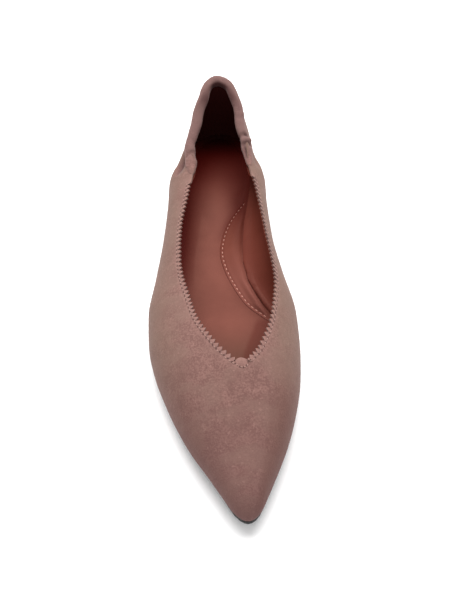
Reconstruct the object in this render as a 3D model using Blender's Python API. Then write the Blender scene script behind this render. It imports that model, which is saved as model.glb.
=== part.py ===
"""A woman's right ballet flat: pointed toe, pinked V throat and an elasticated collar.

All sizes are in millimetres until a mesh is made. In the design frame x runs from the outside of the
foot (lateral, negative) to the inside (medial, positive), "along" runs from the back of the heel to
the toe tip, and z is the height over the floor. A station is a place on the way from heel to toe:
below HEEL_CENTRE it turns round the heel's curve, and from there on it is the distance along the shoe.
"""

import math
from collections import namedtuple

import bmesh
import bpy
import numpy as np

MM = 0.001
LATERAL, MEDIAL = -1, 1

# Driving sizes of the last and of the materials on it.
LENGTH = 262.0
HEEL_CENTRE = 27.0
WALL = 1.8
GAP = 0.3

# The lasted form. A row is a cross-section: where its ridge stands, how far the widest line reaches
# to each side of the ridge, how far the wall tucks in below that line to the sole's edge, how high the
# widest line is over the sole, how round the wall is above it (1 is straight), the height of the
# topline (of the ridge itself in front of the V), and the share of the reach at which the topline lies.
Section = namedtuple(
    "Section",
    "station ridge_x lateral_reach medial_reach lateral_tuck medial_tuck"
    " widest_rise fullness top_z lateral_topline medial_topline",
)
SECTIONS = [
    Section(0, -1.0, 27.0, 27.0, 2.6, 2.6, 7.0, 2.0, 62.2, 0.86, 0.86),
    Section(3.5, -1.0, 26.7, 26.5, 2.6, 2.6, 6.8, 1.9, 61.9, 0.835, 0.84),
    Section(7, -1.0, 26.0, 25.4, 2.6, 2.6, 6.5, 1.8, 60.8, 0.73, 0.79),
    Section(14, -1.0, 24.4, 23.6, 2.6, 2.6, 6.0, 1.5, 57.3, 0.56, 0.655),
    Section(27, -1.0, 22.5, 21.5, 2.6, 3.0, 5.5, 1.25, 51.5, 0.605, 0.635),
    Section(40, -0.6, 26.4, 23.7, 3.6, 6.0, 8.5, 1.3, 46.5, 0.66, 0.69),
    Section(55, 0.0, 30.6, 26.3, 5.5, 11.0, 13.5, 1.8, 43.2, 0.49, 0.62),
    Section(75, 1.5, 32.6, 25.2, 6.0, 13.0, 14.0, 2.2, 41.0, 0.58, 0.73),
    Section(100, 3.0, 36.4, 26.2, 6.0, 16.0, 12.0, 2.2, 38.8, 0.67, 0.79),
    Section(125, 4.5, 41.6, 30.0, 5.5, 14.2, 11.0, 2.2, 38.5, 0.62, 0.745),
    Section(147, 6.5, 46.8, 33.5, 4.5, 8.8, 10.0, 2.2, 39.8, 0.50, 0.62),
    Section(165, 8.0, 47.4, 32.8, 4.0, 5.4, 9.0, 2.2, 41.0, 0.425, 0.505),
    Section(184, 9.5, 44.8, 30.7, 3.9, 4.0, 8.5, 2.2, 41.8, 0.24, 0.262),
    Section(196, 10.5, 41.4, 28.3, 4.0, 3.6, 8.2, 2.2, 41.0, 0.0, 0.0),
    Section(220, 11.3, 31.3, 21.7, 4.0, 3.3, 7.0, 2.2, 33.0, 0.0, 0.0),
    Section(241, 11.5, 18.3, 13.5, 3.6, 3.0, 5.5, 2.2, 26.0, 0.0, 0.0),
    Section(251, 11.5, 12.0, 9.2, 3.0, 2.7, 4.8, 2.2, 22.8, 0.0, 0.0),
    Section(257, 11.4, 7.9, 6.5, 2.6, 2.6, 3.8, 2.2, 19.2, 0.0, 0.0),
    Section(262, 11.2, 0.0, 0.0, 2.5, 2.5, 3.4, 2.2, 12.1, 0.0, 0.0),
]
THROAT = 196.0

# The outsole's underside: a flat seat for the heel, the arch, a flat tread, then the toe spring.
Tread = namedtuple("Tread", "along underside")
TREAD = [
    Tread(0, 8.0),
    Tread(56, 8.0),
    Tread(75, 7.0),
    Tread(100, 4.4),
    Tread(125, 1.5),
    Tread(145, 0.0),
    Tread(200, 0.0),
    Tread(222, 1.0),
    Tread(243, 2.8),
    Tread(262, 5.2),
]
OUTSOLE_THICK = 3.2
SOLE_MARGIN = 1.2
SOLE_BEVEL = 0.7
SOLE_EDGE_SHARE = 0.75

# The heel block under the seat.
HEEL_BREAST = 52.0
HEEL_TAPER = 1.6

# The collar's elastic casing ends, and the pinked throat starts, at a station of its own on each side.
CASING_END = {LATERAL: 49.0, MEDIAL: 42.0}
CASING_HEIGHT = 6.0
CASING_THICK = 5.0
CASING_BULGE = 0.7
CASING_SEAT_GAP = 0.6
CASING_ROUNDNESS = 0.7
CASING_SIDES = 10
STEP_WIDTH = 0.8
PINK_START = {LATERAL: 70.0, MEDIAL: 66.0}
TOOTH_PITCH = 2.9
TOOTH_DEPTH = 1.8
SEAM_DEPTH = 2.3

# The insole, and the padded crescent under the arch: its stitched inner edge at each station.
INSOLE_THICK = 2.2
INSOLE_INSET = 0.4
PAD_RISE = 1.8
PAD_SHOULDER = 5.0
PadEdge = namedtuple("PadEdge", "along stitch_x")
PAD_EDGE = [
    PadEdge(50, 22.0),
    PadEdge(67, 11.0),
    PadEdge(81, 4.0),
    PadEdge(96, -1.0),
    PadEdge(109, 1.0),
    PadEdge(123, 5.0),
    PadEdge(135, 12.0),
    PadEdge(150, 30.0),
]

# How finely the faceted solids are cut.
COLLAR_COLUMNS = 16
GATHER_COLUMNS = 6
TUCK_ROWS = 2
WALL_ROWS = 5
PLATE_HEEL = 6
PLATE_BODY = 24
PLATE_TOE = 11
PLATE_TIP = 8.0
INSOLE_ROWS = 5
SHARP_ANGLE = 40

# How closely lines are measured, points are searched for and meeting points are joined.
LINE_SAMPLES = 600
SEARCH_STEPS = 24
FINE_STEP = 0.5
WELD = 0.01


def from_toe(station):
    """The variable the sections are blended in, so that each width closes to a round toe."""
    return math.sqrt(max(LENGTH - station, 0.0))


def smooth_curve(knots, values):
    """A function that runs smoothly through the values and never swings past them."""
    order = np.argsort(knots)
    x, y = np.asarray(knots, float)[order], np.asarray(values, float)[order]
    steps, slopes = np.diff(x), np.diff(y) / np.diff(x)
    tangent = np.zeros(len(x))
    tangent[0], tangent[-1] = slopes[0], slopes[-1]
    for i in range(1, len(x) - 1):
        if slopes[i - 1] * slopes[i] > 0:
            before = 2 * steps[i] + steps[i - 1]
            after = steps[i] + 2 * steps[i - 1]
            tangent[i] = (before + after) / (before / slopes[i - 1] + after / slopes[i])

    def value(at):
        i = int(np.clip(np.searchsorted(x, at) - 1, 0, len(x) - 2))
        t = min(max((at - x[i]) / steps[i], 0.0), 1.0)
        start = (1 + 2 * t) * (1 - t) ** 2 * y[i] + t * (1 - t) ** 2 * steps[i] * tangent[i]
        end = t * t * (3 - 2 * t) * y[i + 1] + t * t * (t - 1) * steps[i] * tangent[i + 1]
        return start + end

    return value


def section_column(name):
    """One column of SECTIONS as a smooth function of the station."""
    rows = SECTIONS
    if name.endswith("topline"):
        rows = [row for row in SECTIONS if row.station <= THROAT]
    curve = smooth_curve([from_toe(row.station) for row in rows], [getattr(row, name) for row in rows])
    return lambda station: curve(from_toe(station))


FORM = {name: section_column(name) for name in Section._fields[1:]}
underside_z = smooth_curve([row.along for row in TREAD], [row.underside for row in TREAD])
pad_stitch_x = smooth_curve([row.along for row in PAD_EDGE], [row.stitch_x for row in PAD_EDGE])


def side_name(side, what):
    return ("lateral_" if side == LATERAL else "medial_") + what


def sole_top_z(along):
    return underside_z(along) + OUTSOLE_THICK


def plan_point(side, station, reach):
    """The point this far from the ridge, square to it, or fanned out round the heel's centre."""
    if station < HEEL_CENTRE:
        angle = math.pi / 2 * station / HEEL_CENTRE
        x = FORM["ridge_x"](HEEL_CENTRE) + side * reach * math.sin(angle)
        return np.array([x, HEEL_CENTRE - reach * math.cos(angle)])
    return np.array([FORM["ridge_x"](station) + side * reach, station])


def widest_point(side, station):
    return plan_point(side, station, FORM[side_name(side, "reach")](station))


def outward(side, station):
    """The unit normal of the widest line in plan, pointing away from the shoe."""
    if station >= LENGTH:
        return np.array([0.0, 1.0])
    step = min(FINE_STEP, (LENGTH - station) / 4)
    ahead = widest_point(side, station + step)
    behind = widest_point(side, station - step) if station > step else widest_point(-side, step)
    run = (ahead - behind) / np.linalg.norm(ahead - behind)
    return side * np.array([run[1], -run[0]])


def edge_point(side, station, margin):
    """The sole's edge in plan, moved outwards by the margin."""
    tuck = FORM[side_name(side, "tuck")](station)
    return widest_point(side, station) - (tuck - margin) * outward(side, station)


def place(point):
    """(side, station, share of the reach) of a point in plan."""
    x, along = point
    station = min(max(along, HEEL_CENTRE), LENGTH)
    offset = x - FORM["ridge_x"](station)
    side = MEDIAL if offset > 0 else LATERAL
    distance = abs(offset)
    if along < HEEL_CENTRE:
        station = HEEL_CENTRE * math.atan2(distance, HEEL_CENTRE - along) / (math.pi / 2)
        distance = math.hypot(distance, HEEL_CENTRE - along)
    reach = FORM[side_name(side, "reach")](station)
    return side, station, min(distance / max(reach, WELD), 1.0)


def widest_z(along, station):
    return sole_top_z(along) + GAP + FORM["widest_rise"](station)


def lift(share, station):
    """How much of the crown's height the wall has reached at this share of the way out."""
    power = FORM["fullness"](station)
    return (1 - share**power) ** (1 / power)


def wall_point(point):
    """The outer surface of the upper over a point in plan, above the widest line."""
    side, station, share = place(point)
    topline = FORM[side_name(side, "topline")](station) if station < THROAT else 0.0
    crown = (FORM["top_z"](station) - widest_z(station, station)) / lift(topline, station)
    return np.array([*point, widest_z(point[1], station) + max(crown, 0.0) * lift(share, station)])


def topline_point(side, station):
    """The topline in plan: the collar and the throat down to the point of the V."""
    share = FORM[side_name(side, "topline")](station)
    return plan_point(side, station, share * FORM[side_name(side, "reach")](station))


def below_topline(side, station, depth):
    """The point in plan that lies the depth down the wall, square to the topline."""
    if station < FINE_STEP:
        down = np.array([0.0, -1.0])
    elif station > THROAT - FINE_STEP:
        down = np.array([0.0, 1.0])
    else:
        run = topline_point(side, station + FINE_STEP) - topline_point(side, station - FINE_STEP)
        down = side * np.array([run[1], -run[0]]) / np.linalg.norm(run)
    top = topline_point(side, station)
    near, far = 0.0, depth
    for _ in range(SEARCH_STEPS):
        middle = (near + far) / 2
        too_far = np.linalg.norm(wall_point(top + down * middle) - wall_point(top)) > depth
        near, far = (near, middle) if too_far else (middle, far)
    return top + down * near


def run_along(points):
    """The distance covered at each of the points."""
    steps = np.linalg.norm(np.diff(np.array(points), axis=0), axis=1)
    return np.concatenate([[0], np.cumsum(steps)])


TOPLINE_STATIONS = np.linspace(0, THROAT, LINE_SAMPLES)
WIDEST_STATIONS = LENGTH - np.linspace(from_toe(0), 0, LINE_SAMPLES) ** 2
TOPLINE_RUN = {
    side: run_along([wall_point(topline_point(side, station)) for station in TOPLINE_STATIONS])
    for side in (LATERAL, MEDIAL)
}
WIDEST_RUN = {
    side: run_along([widest_point(side, station) for station in WIDEST_STATIONS])
    for side in (LATERAL, MEDIAL)
}


def stations_along_topline(side, first, last, count):
    """Stations that divide a stretch of the topline into equal lengths."""
    start, end = np.interp([first, last], TOPLINE_STATIONS, TOPLINE_RUN[side])
    return np.interp(np.linspace(start, end, count + 1), TOPLINE_RUN[side], TOPLINE_STATIONS)


def tooth_count(side):
    start, end = np.interp([PINK_START[side], THROAT], TOPLINE_STATIONS, TOPLINE_RUN[side])
    return round((end - start) / TOOTH_PITCH)


def bottom_station(side, station):
    """Where a column that ends at this place on the topline starts on the widest line.

    Forward of the casing the widest line is the longer of the two, so the columns fan out to the toe.
    """
    if station <= CASING_END[side]:
        return station
    top_start = np.interp(CASING_END[side], TOPLINE_STATIONS, TOPLINE_RUN[side])
    covered = np.interp(station, TOPLINE_STATIONS, TOPLINE_RUN[side]) - top_start
    top_length = TOPLINE_RUN[side][-1] - top_start
    start = np.interp(CASING_END[side], WIDEST_STATIONS, WIDEST_RUN[side])
    spare = WIDEST_RUN[side][-1] - start - top_length
    share = covered / top_length
    fanned = start + covered + spare * share**2 * (3 - share) / 2
    return np.interp(fanned, WIDEST_RUN[side], WIDEST_STATIONS)


def upper_columns(side):
    """(side, station at the topline, depth of the rim below it) of each column from heel to V."""
    collar = np.linspace(0, CASING_END[side], COLLAR_COLUMNS + 1)
    gather = stations_along_topline(side, CASING_END[side] + STEP_WIDTH, PINK_START[side], GATHER_COLUMNS)
    pinked = stations_along_topline(side, PINK_START[side], THROAT, 2 * tooth_count(side))
    columns = [(side, station, CASING_HEIGHT + CASING_SEAT_GAP) for station in collar]
    columns += [(side, station, 0.0) for station in gather[:-1]]
    columns += [(side, station, TOOTH_DEPTH if i % 2 else 0.0) for i, station in enumerate(pinked)]
    return columns


def upper_column(side, station, depth):
    """The outer surface of the upper from the sole's edge up to the seam under its rim, and the rim."""
    base_station = bottom_station(side, station)
    base = widest_point(side, base_station)
    normal = outward(side, base_station)
    tuck = FORM[side_name(side, "tuck")](base_station)
    height = widest_z(base[1], base_station)
    points = []
    for row in range(TUCK_ROWS):
        angle = math.pi / 2 * (1 - row / TUCK_ROWS)
        under = base - tuck * (1 - math.cos(angle)) * normal
        sole = sole_top_z(under[1]) + GAP
        points.append([*under, height - (height - sole) * math.sin(angle)])
    seam = below_topline(side, station, max(depth, TOOTH_DEPTH) + SEAM_DEPTH)
    _, _, share = place(seam)
    for row in range(WALL_ROWS + 1):
        way = (1 - math.cos(math.acos(share) * row / WALL_ROWS)) / (1 - share)
        points.append(wall_point(base + (seam - base) * way))
    rim = below_topline(side, station, depth) if depth else topline_point(side, station)
    points.append(wall_point(rim))
    return points


def grid_normals(grid):
    """Unit normals of a closed ring of columns, pointing out of the shoe."""
    around = np.roll(grid, -1, axis=0) - np.roll(grid, 1, axis=0)
    upward = np.gradient(grid, axis=1)
    normals = np.cross(upward, around)
    normals = normals / np.linalg.norm(normals, axis=2, keepdims=True)
    normals[:, 0] = (0, 0, -1)
    normals[:, -1] = normals[:, -2]
    return normals


def ring_of_columns():
    """The upper's columns: up the lateral side to the V, and back down the medial side."""
    return upper_columns(LATERAL) + upper_columns(MEDIAL)[-2:0:-1]


def loft(rings, closed=False, capped=False):
    """A surface through rings of points that match one to one, joined by bmesh faces."""
    surface = bmesh.new()
    verts = [[surface.verts.new(point) for point in ring] for ring in rings]
    following = verts[1:] + verts[:1] if closed else verts[1:]
    for ring, after in zip(verts, following):
        for k in range(len(ring)):
            surface.faces.new((ring[k - 1], ring[k], after[k], after[k - 1]))
    if capped:
        surface.faces.new(verts[0])
        surface.faces.new(verts[-1])
    bmesh.ops.remove_doubles(surface, verts=surface.verts, dist=WELD)
    bmesh.ops.recalc_face_normals(surface, faces=surface.faces)
    return surface


def build_upper():
    """A wall of even thickness, open at the collar and throat and underneath."""
    outer = np.array([upper_column(*column) for column in ring_of_columns()])
    inner = outer - WALL * grid_normals(outer)
    return loft(np.concatenate([outer, inner[:, ::-1]], axis=1), closed=True)


def collar_places():
    """(side, station) along the casing, from its lateral end round the heel to its medial end."""
    places = {}
    for side in (LATERAL, MEDIAL):
        columns = np.linspace(0, CASING_END[side], COLLAR_COLUMNS + 1)
        columns[-1] -= STEP_WIDTH
        places[side] = [(side, station) for station in columns]
    return places[LATERAL][::-1] + places[MEDIAL][1:]


def build_collar_casing():
    """A rounded band that stands on the cut edge of the wall."""
    places = collar_places()
    seats = np.array([wall_point(below_topline(*at, CASING_HEIGHT)) for at in places])
    tops = np.array([wall_point(topline_point(*at)) for at in places])
    normals = np.cross(np.gradient((seats + tops) / 2, axis=0), tops - seats)
    normals = normals / np.linalg.norm(normals, axis=1, keepdims=True)
    middles = (seats + tops) / 2 - normals * (CASING_THICK / 2 - CASING_BULGE)
    turns = 2 * math.pi * (np.arange(CASING_SIDES) + 0.5) / CASING_SIDES
    across = np.sign(np.cos(turns)) * abs(np.cos(turns)) ** CASING_ROUNDNESS * CASING_THICK / 2
    upward = np.sign(np.sin(turns)) * abs(np.sin(turns)) ** CASING_ROUNDNESS / 2
    rings = [
        [middle + a * normal + u * (top - seat) for a, u in zip(across, upward)]
        for middle, normal, top, seat in zip(middles, normals, tops, seats)
    ]
    return loft(rings, capped=True)


def plate_stations():
    """Stations from the heel's back to the toe tip, closer together at the round toe."""
    heel = np.linspace(0, HEEL_CENTRE, PLATE_HEEL + 1)
    body = np.linspace(HEEL_CENTRE, THROAT, PLATE_BODY + 1)
    toe = LENGTH - np.linspace(from_toe(THROAT), 0, PLATE_TOE + 1) ** 2
    return np.concatenate([heel, body[1:], toe[1:]])


def plate_row(station, margin, rows):
    """Points across a plate, from its lateral edge to a middle point and on to its medial edge."""
    along = min(max(station, HEEL_CENTRE), LENGTH - PLATE_TIP)
    middle = np.array([FORM["ridge_x"](along) / 2, along])
    lateral, medial = (edge_point(side, station, margin) for side in (LATERAL, MEDIAL))
    shares = np.arange(rows + 1) / rows
    outwards = [middle + (medial - middle) * share for share in shares]
    inwards = [lateral + (middle - lateral) * share for share in shares]
    return inwards[:-1] + outwards


def plate_ring(station, margins, rows, top_z, under_z):
    """A plate's cross-section: over the top, down its medial edge, back under it and up again."""
    top_margin, under_margin = margins
    over = [[*at, top_z(at)] for at in plate_row(station, top_margin, rows)]
    under = [[*at, under_z(at)] for at in plate_row(station, under_margin, rows)]
    medial_edge, lateral_edge = (
        [x, along, z + (under_z([x, along]) - z) * SOLE_EDGE_SHARE] for x, along, z in (over[-1], over[0])
    )
    return over + [medial_edge] + under[::-1] + [lateral_edge]


def build_outsole():
    margins = (SOLE_MARGIN, SOLE_MARGIN - SOLE_BEVEL)

    def top(at):
        return sole_top_z(at[1])

    def underside(at):
        return underside_z(at[1])

    return loft([plate_ring(station, margins, 1, top, underside) for station in plate_stations()])


def pad_height(point):
    """How far the padded crescent under the arch lifts the insole."""
    if not PAD_EDGE[0].along < point[1] < PAD_EDGE[-1].along:
        return 0.0
    inside = (point[0] - pad_stitch_x(point[1])) / PAD_SHOULDER
    inside = min(max(inside, 0.0), 1.0)
    return PAD_RISE * inside * inside * (3 - 2 * inside)


def build_insole():
    margins = (-INSOLE_INSET, -INSOLE_INSET)

    def seat(at):
        return sole_top_z(at[1]) + GAP

    def top(at):
        return seat(at) + INSOLE_THICK + pad_height(at)

    return loft([plate_ring(station, margins, INSOLE_ROWS, top, seat) for station in plate_stations()])


def build_heel():
    """A low block, a little smaller on the floor, with a straight breast."""
    stations = [station for station in plate_stations() if station < HEEL_BREAST] + [HEEL_BREAST]
    outline = [(LATERAL, station) for station in stations[::-1]]
    outline += [(MEDIAL, station) for station in stations[1:]]
    top_margin = SOLE_MARGIN - SOLE_BEVEL
    top = [[*edge_point(*at, top_margin), underside_z(0) - GAP] for at in outline]
    floor = [[*edge_point(*at, top_margin - HEEL_TAPER), 0.0] for at in outline]
    return loft([top, floor], capped=True)


def principled(name, colour, roughness):
    material = bpy.data.materials.new(name)
    material.use_nodes = True
    shader = material.node_tree.nodes["Principled BSDF"]
    shader.inputs["Base Color"].default_value = (*colour, 1.0)
    shader.inputs["Roughness"].default_value = roughness
    shader.inputs["Metallic"].default_value = 0.0
    return material


# Each piece: how it is built, its colour and its roughness.
PIECES = {
    "upper": (build_upper, (0.33, 0.20, 0.17), 0.95),
    "collar_casing": (build_collar_casing, (0.33, 0.20, 0.17), 0.95),
    "insole": (build_insole, (0.30, 0.11, 0.08), 0.45),
    "outsole": (build_outsole, (0.02, 0.018, 0.017), 0.6),
    "heel": (build_heel, (0.02, 0.018, 0.017), 0.6),
}


def add_piece(name, surface, centre, material, parent):
    """Design millimetres to metres, the toe towards -Y and the origin under the middle of the shoe."""
    for vert in surface.verts:
        x, along, z = vert.co
        vert.co = (MM * (x - centre[0]), MM * (centre[1] - along), MM * z)
    bmesh.ops.reverse_faces(surface, faces=surface.faces)
    mesh = bpy.data.meshes.new(name)
    surface.to_mesh(mesh)
    surface.free()
    mesh.materials.append(material)
    mesh.shade_smooth()
    mesh.set_sharp_from_angle(angle=math.radians(SHARP_ANGLE))
    piece = bpy.data.objects.new(name, mesh)
    bpy.context.scene.collection.objects.link(piece)
    piece.parent = parent


def main():
    for old in list(bpy.data.objects):
        bpy.data.objects.remove(old)
    shoe = bpy.data.objects.new("ballet_flat", None)
    bpy.context.scene.collection.objects.link(shoe)
    surfaces = {name: build() for name, (build, _, _) in PIECES.items()}
    points = np.array([vert.co for surface in surfaces.values() for vert in surface.verts])
    centre = (points.min(axis=0) + points.max(axis=0)) / 2
    for name, (_, colour, roughness) in PIECES.items():
        add_piece(name, surfaces[name], centre, principled(name, colour, roughness), shoe)


main()
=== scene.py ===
"""The looks of a right ballet flat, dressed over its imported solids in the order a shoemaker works: sole
and heel, insole and arch pad, lining, suede upper with its pinked throat, and the gathered collar.
"""

import math

import bpy
import numpy as np
from mathutils import Matrix, Vector, noise
from mathutils.kdtree import KDTree


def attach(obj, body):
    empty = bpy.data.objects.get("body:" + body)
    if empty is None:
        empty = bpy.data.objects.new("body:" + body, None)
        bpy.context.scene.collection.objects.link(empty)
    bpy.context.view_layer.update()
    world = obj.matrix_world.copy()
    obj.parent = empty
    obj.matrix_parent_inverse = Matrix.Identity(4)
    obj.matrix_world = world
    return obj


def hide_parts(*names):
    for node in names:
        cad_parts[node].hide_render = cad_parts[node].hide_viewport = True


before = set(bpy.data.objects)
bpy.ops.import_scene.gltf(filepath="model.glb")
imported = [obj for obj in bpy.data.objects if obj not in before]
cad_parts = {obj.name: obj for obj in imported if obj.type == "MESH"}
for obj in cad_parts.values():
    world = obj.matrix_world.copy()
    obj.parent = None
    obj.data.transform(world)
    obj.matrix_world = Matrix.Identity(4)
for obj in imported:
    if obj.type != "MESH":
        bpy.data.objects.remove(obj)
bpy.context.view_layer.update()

# Outsole: a thin sole of black rubber with its arch and toe spring moulded in, glued under the lasted
# upper. Its edge is softly rounded, and a fine stipple on the tread grips the floor.
MM = 0.001
RUBBER_BLACK = (0.010, 0.0095, 0.009, 1)
RUBBER_DUSTY = (0.022, 0.020, 0.019, 1)
OUTSOLE_EDGE = 0.45 * MM
GRIT_SIZE, GRIT_DEPTH = 0.5 * MM, 0.12 * MM
DUST_SIZE, DUST_SHOWS = 14 * MM, (0.35, 0.75)
SAME_POINT = 0.01 * MM
QUAD_BEND, QUAD_SKEW = math.radians(70), math.radians(120)
SHARP_EDGE, RUBBER_SMOOTH = math.radians(40), math.radians(35)


def select_only(piece):
    bpy.ops.object.select_all(action="DESELECT")
    piece.select_set(True)
    bpy.context.view_layer.objects.active = piece


def apply_modifier(piece, kind, **settings):
    select_only(piece)
    modifier = piece.modifiers.new(kind.title(), kind)
    for name, value in settings.items():
        setattr(modifier, name, value)
    bpy.ops.object.modifier_apply(modifier=modifier.name)


def copy_of_node(node, name):
    """A merged copy of a solid's mesh, with its triangles joined to quads again."""
    piece = bpy.data.objects.new(name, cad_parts[node].data.copy())
    piece.data.materials.clear()
    bpy.context.scene.collection.objects.link(piece)
    select_only(piece)
    bpy.ops.mesh.customdata_custom_splitnormals_clear()
    bpy.ops.object.mode_set(mode="EDIT")
    bpy.ops.mesh.select_all(action="SELECT")
    bpy.ops.mesh.remove_doubles(threshold=SAME_POINT)
    bpy.ops.mesh.tris_convert_to_quads(
        face_threshold=QUAD_BEND, shape_threshold=QUAD_SKEW, topology_influence=1
    )
    bpy.ops.object.mode_set(mode="OBJECT")
    return piece


def round_edges(piece, width, segments):
    """Rounds the sharp edges of a rubber block and shades it smoothly across them."""
    apply_modifier(piece, "BEVEL", width=width, segments=segments, angle_limit=SHARP_EDGE)
    bpy.ops.object.shade_smooth_by_angle(angle=RUBBER_SMOOTH)


class Value:
    """A socket in a shader expression: each operator adds a Math node to its finish."""

    def __init__(self, finish, socket):
        self.finish, self.socket = finish, socket

    def math(self, operation, first, second=0.0):
        return self.finish.node("ShaderNodeMath", {"operation": operation}, {0: first, 1: second})

    def __add__(self, other):
        return self.math("ADD", self, other)

    def __sub__(self, other):
        return self.math("SUBTRACT", self, other)

    def __rsub__(self, other):
        return self.math("SUBTRACT", other, self)

    def __mul__(self, other):
        return self.math("MULTIPLY", self, other)

    def __truediv__(self, other):
        return self.math("DIVIDE", self, other)

    def __pow__(self, other):
        return self.math("POWER", self, other)

    __radd__, __rmul__ = __add__, __mul__

    def fraction(self):
        return self.math("FRACT", self)

    def between(self, low, high):
        """A smooth step from 0 at low to 1 at high, which may lie the other way round."""
        settings = {"interpolation_type": "SMOOTHSTEP"}
        return self.finish.node("ShaderNodeMapRange", settings, {0: self, 1: low, 2: high})


class Finish:
    """The nodes of one material or world: its shader, and a method that adds any other node."""

    def __init__(self, block, shader="Principled BSDF"):
        self.block = block
        block.use_nodes = True
        self.tree = block.node_tree
        self.shader = self.tree.nodes[shader]

    def fill(self, node, sockets):
        for name, value in sockets.items():
            if isinstance(value, Value):
                self.tree.links.new(value.socket, node.inputs[name])
            else:
                node.inputs[name].default_value = value

    def node(self, kind, settings, sockets, output=0):
        made = self.tree.nodes.new(kind)
        for name, value in settings.items():
            setattr(made, name, value)
        self.fill(made, sockets)
        return Value(self, made.outputs[output])

    def place(self, axis):
        """One of the piece's own coordinates, in metres."""
        coordinates = self.node("ShaderNodeTexCoord", {}, {}, "Object")
        return self.node("ShaderNodeSeparateXYZ", {}, {0: coordinates}, axis)

    def attribute(self, name):
        return self.node("ShaderNodeAttribute", {"attribute_name": name}, {}, "Fac")

    def noise(self, size, detail=2.0, stretch=(1, 1, 1)):
        """Cloudy noise on the piece's own coordinates, with lumps of about this size."""
        coordinates = self.node("ShaderNodeTexCoord", {}, {}, "Object")
        coordinates = self.node("ShaderNodeMapping", {}, {"Vector": coordinates, "Scale": stretch})
        sockets = {"Vector": coordinates, "Scale": 1 / size, "Detail": detail}
        return self.node("ShaderNodeTexNoise", {}, sockets)

    def mix(self, share, first, second):
        """A colour that goes from the first to the second as the share goes from 0 to 1."""
        return self.node("ShaderNodeMix", {"data_type": "RGBA"}, {0: share, 6: first, 7: second}, 2)

    def overlay(self, colour, tones):
        """Lays tones over a colour in turn: where (an attribute), how strongly, and which colour."""
        for name, strength, tone in tones:
            colour = self.mix(strength * self.attribute(name), colour, tone)
        return colour

    def bump(self, height, strength, depth):
        return self.node("ShaderNodeBump", {}, {"Height": height, "Strength": strength, "Distance": depth})


def dress(piece, finish, slot, *nodes):
    """Gives a piece its finish, hangs it under the root body and hides the solids that it stands for."""
    piece.data.materials.append(finish.block)
    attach(piece, "root")
    for node in nodes:
        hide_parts(node)


rubber = Finish(bpy.data.materials.new("black_rubber"))
grit = rubber.noise(GRIT_SIZE)
dust = rubber.noise(DUST_SIZE, 4)
rubber.fill(rubber.shader, {
    "Base Color": rubber.mix(dust.between(*DUST_SHOWS), RUBBER_BLACK, RUBBER_DUSTY),
    "Roughness": 0.5 + 0.25 * dust,
    "Specular IOR Level": 0.3,
    "Normal": rubber.bump(grit, 0.35, GRIT_DEPTH),
})

outsole = copy_of_node("outsole", "rubber_outsole")
round_edges(outsole, OUTSOLE_EDGE, 2)
dress(outsole, rubber, "sole_rubber", "outsole")

# Heel: a low block of the same rubber, nailed and glued under the seat, a little smaller on the floor.
# Its arris is rounded by wear.
HEEL_EDGE = 0.7 * MM

heel = copy_of_node("heel", "rubber_heel")
round_edges(heel, HEEL_EDGE, 3)
dress(heel, rubber, "sole_rubber", "heel")

# Insole: a sock of smooth brick leather glued over the board for the whole length. Its edge reaches in
# behind the lining and turns up a little where the two meet.
BRICK = (0.186, 0.061, 0.044, 1)
BRICK_DEEP = (0.154, 0.048, 0.034, 1)
BRICK_SHADE = (0.080, 0.003, 0.001, 1)
ARCH_DARK = (0.065, 0.007, 0.004, 1)
VAMP_SHADE = (0.084, 0.037, 0.024, 1)
# Painted shade: the sock turns deep red, then nearly black, towards the heel seat.
SEAT_SHADE_RED = (0.105, 0.004, 0.002, 1)
SEAT_SHADE_DARK = (0.020, 0.001, 0.0005, 1)
SEAT_SHADE_RED_RUN, SEAT_SHADE_DARK_RUN = (0.064, 0.121), (0.108, 0.128)
BESIDE_PAD = 0.45
# Painted shade over the sock: beside both walls, along the pad's edge, under the vamp and the throat.
SOCK_TONES = [
    ("beside_wall", 1, BRICK_SHADE), ("arch_shade", 1, ARCH_DARK), ("beside_pad", BESIDE_PAD, ARCH_DARK),
    ("under_vamp", 0.8, VAMP_SHADE), ("under_throat", 0.36, BRICK_SHADE),
]
LEATHER_CLOUD, CLOUD_SHOWS = 22 * MM, (0.3, 0.75)
PEBBLES_PER_METRE, PORE_SIZE, GRAIN_DEPTH = 1100, 0.25 * MM, 0.12 * MM
LEATHER_SMOOTH = math.radians(50)
SOCK_CELLS = (72, 220)
SOCK_THICK, SOCK_END = 1.2 * MM, 0.1 * MM
SOCK_OUTER_SHARE = 0.3
NO_RUN = 1e-9
SOCK_TUCK, SOCK_UNDER_CREASE = 0.6 * MM, 0.8 * MM
UNDER_CREASE_FROM, UNDER_CREASE_TO, UNDER_CREASE_FADE = 40 * MM, 98 * MM, 10 * MM
SOCK_TURN_UP, SOCK_TURN_WIDTH = 2.4 * MM, 5 * MM
SOCK_WALL_SHADE, SOCK_HEEL_SHADE = 18 * MM, 22 * MM
HEEL_SHADE_FROM, HEEL_SHADE_RUN = 50 * MM, 25 * MM
VAMP_SHADE_FROM, VAMP_SHADE_RUN = -10 * MM, 35 * MM
# The crease where the arch pad meets the lining of the wall, (x, y) in millimetres from the ball back.
ARCH_CREASE = [
    (33, -19), (26.3, -9), (22.6, -3.1), (18.4, 4.8), (14.2, 14.2), (11.7, 26.2), (11.6, 38.6), (13, 54),
    (14.8, 65), (16.2, 75), (17, 82), (17.4, 92), (17.4, 130),
]
# The shade beside that wall: (y, width) in millimetres, and how strong it is.
ARCH_SHADE = [
    (30, 4, 0), (41, 8, 0.35), (53, 16, 0.6), (61, 18, 0.85), (69, 20, 1.2), (77, 22, 1.1), (85, 22, 0.85),
    (94, 22, 0.75), (104, 20, 0.4), (112, 18, 0),
]
ARCH_SHADE_MOST = 0.85
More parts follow.
